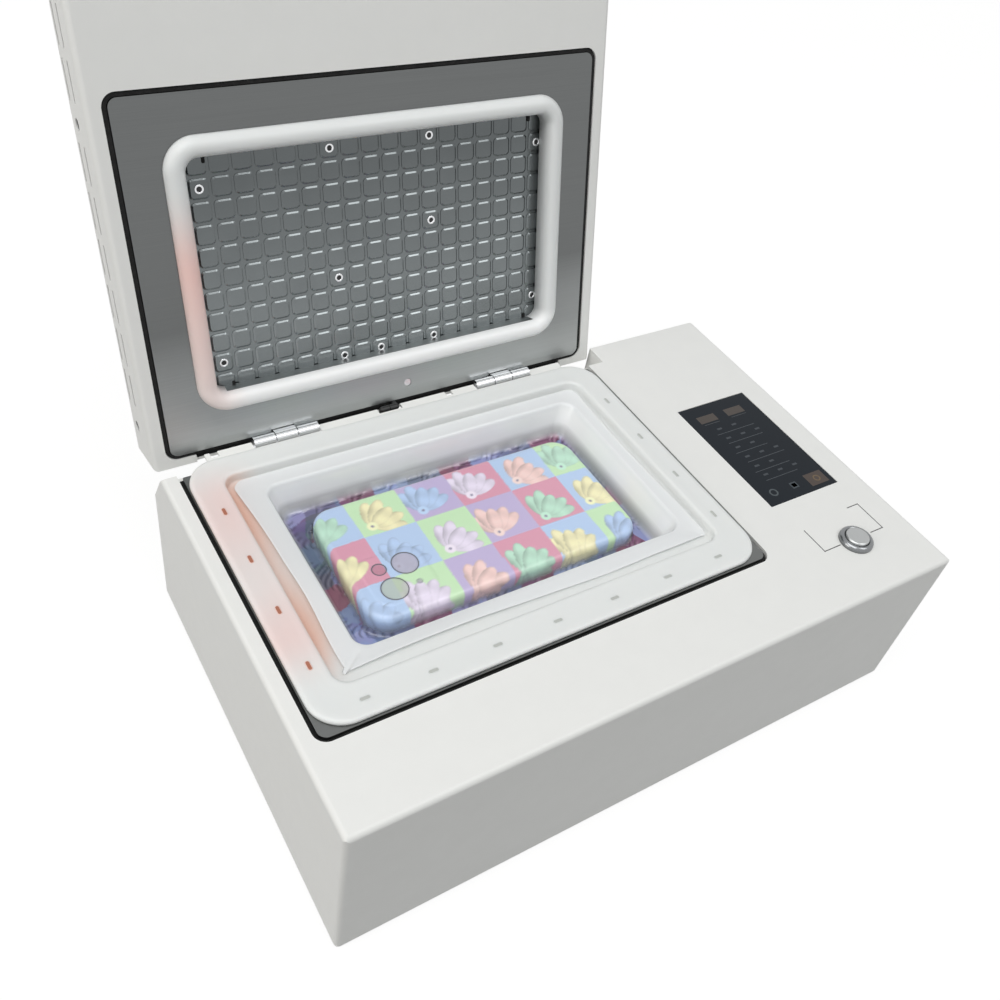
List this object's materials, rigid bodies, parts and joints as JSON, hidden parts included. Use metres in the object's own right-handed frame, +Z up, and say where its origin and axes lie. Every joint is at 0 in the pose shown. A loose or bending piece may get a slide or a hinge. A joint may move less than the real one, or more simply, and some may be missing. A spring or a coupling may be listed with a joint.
{
  "type": "vacuum sublimation heat press",
  "caption": "Tabletop vacuum heat press: hinged lid with grid heater plate and silicone seal over a vacuum tray, with a side control panel holding a screen and start button.",
  "frame": {"origin": "middle of the machine's bounding box on the table, with the lid stored open", "axes": "+X to the operator's right, +Y to the rear where the lid leans, +Z up"},
  "size_m": [0.336, 0.2908, 0.298],
  "materials": {
    "white_powder_coat": "white powder coat, satin",
    "brushed_plate": "brushed stainless steel sheet",
    "sheet_steel": "plain zinc-plated sheet steel",
    "heater_metal": "machined aluminium with a grid of raised pads, dulled by heat",
    "hinge_chrome": "bright chrome plate",
    "white_silicone": "milky translucent silicone rubber",
    "black_foam": "matt black foam rubber",
    "black_rubber": "matt black rubber",
    "black_plastic": "fine-grained black plastic",
    "red_plastic": "smooth red plastic",
    "display_front": "dark blue-black glossy screen face",
    "board_green": "green solder mask",
    "brass_plain": "plain turned brass",
    "mica_board": "brown mica board",
    "white_wool": "off-white ceramic wool",
    "ceramic": "off-white ceramic",
    "wire_black": "black silicone-jacketed wire",
    "mould_aluminium": "plain cast aluminium",
    "printed_case": "white coated plastic under a pastel printed pattern",
    "clear_film": "thin creased heat-shrunk film, slightly milky and shiny"
  },
  "bodies": {
    "base": {"base_shell": "white_powder_coat", "bottom_pan": "sheet_steel", "rear_panel": "white_powder_coat", "base_screws": "hinge_chrome", "foot_front_left": "black_rubber", "foot_front_right": "black_rubber", "foot_rear_left": "black_rubber", "foot_rear_right": "black_rubber", "tray_plate": "brushed_plate", "tray_foam": "black_foam", "vacuum_tray": "sheet_steel", "tray_seal": "white_silicone", "tray_support_grid": "sheet_steel", "suction_port": "brass_plain", "vacuum_hose": "black_rubber", "pump_head": "black_plastic", "pump_motor": "sheet_steel", "pump_bracket": "sheet_steel", "release_valve": "brass_plain", "power_supply": "sheet_steel", "solid_state_relay": "black_plastic", "control_board": "board_green", "board_standoffs": "brass_plain", "fan_frame": "black_plastic", "mains_inlet": "black_plastic", "switch_bezel": "black_plastic", "display_glass": "display_front", "display_module": "board_green", "display_bracket": "sheet_steel", "start_button_body": "hinge_chrome", "start_button_nut": "sheet_steel", "hinge_rail": "white_powder_coat", "left_hinge_base_leaf": "hinge_chrome", "right_hinge_base_leaf": "hinge_chrome", "left_hinge_pin": "sheet_steel", "right_hinge_pin": "sheet_steel", "base_harness": "wire_black"},
    "lid": {"left_hinge_lid_leaf": "hinge_chrome", "right_hinge_lid_leaf": "hinge_chrome", "lid_shell": "white_powder_coat", "lid_cover": "white_powder_coat", "lid_side_screws": "black_plastic", "lid_plate": "brushed_plate", "lid_foam": "black_foam", "lid_plate_screws": "hinge_chrome", "lid_seal": "white_silicone", "heater_plate": "heater_metal", "heater_screws": "hinge_chrome", "heater_element": "mica_board", "insulation_pad": "white_wool", "heater_cover": "sheet_steel", "thermal_cutout": "ceramic", "lid_harness": "wire_black"},
    "button": {"start_button_cap": "brushed_plate"},
    "rocker": {"switch_rocker": "red_plastic"},
    "fan": {"fan_rotor": "black_plastic"},
    "mould": {"case_mould": "mould_aluminium"},
    "case": {"phone_case": "printed_case"},
    "film": {"transfer_film": "clear_film", "transfer_film_floor": "clear_film"}
  },
  "joints": [
    {"name": "lid_hinge", "type": "hinge", "parent": "base", "child": "lid", "pos_m": [0, 0.06317, 0.0978], "axis": [-1, 0, 0], "range_deg": [-104.9, 0]},
    {"name": "start_button_press", "type": "slide", "parent": "base", "child": "button", "axis": [0, 0, -1], "range_m": [0, 0.0015], "stiffness_N_per_m": 400, "springref_m": -0.0006},
    {"name": "power_rocker", "type": "hinge", "parent": "base", "child": "rocker", "pos_m": [0.1315, 0.06457, 0.0674], "axis": [1, 0, 0], "range_deg": [-20, 0]},
    {"name": "fan_spin", "type": "hinge", "parent": "base", "child": "fan", "pos_m": [0.0475, 0.06037, 0.0384], "axis": [0, 1, 0], "continuous": true},
    {"name": "mould_lift", "type": "slide", "parent": "base", "child": "mould", "axis": [0, 0, 1], "range_m": [0, 0.03]},
    {"name": "case_lift", "type": "slide", "parent": "mould", "child": "case", "axis": [0, 0, 1], "range_m": [0, 0.03]},
    {"name": "film_lift", "type": "slide", "parent": "case", "child": "film", "axis": [0, 0, 1], "range_m": [0, 0.04]}
  ]
}
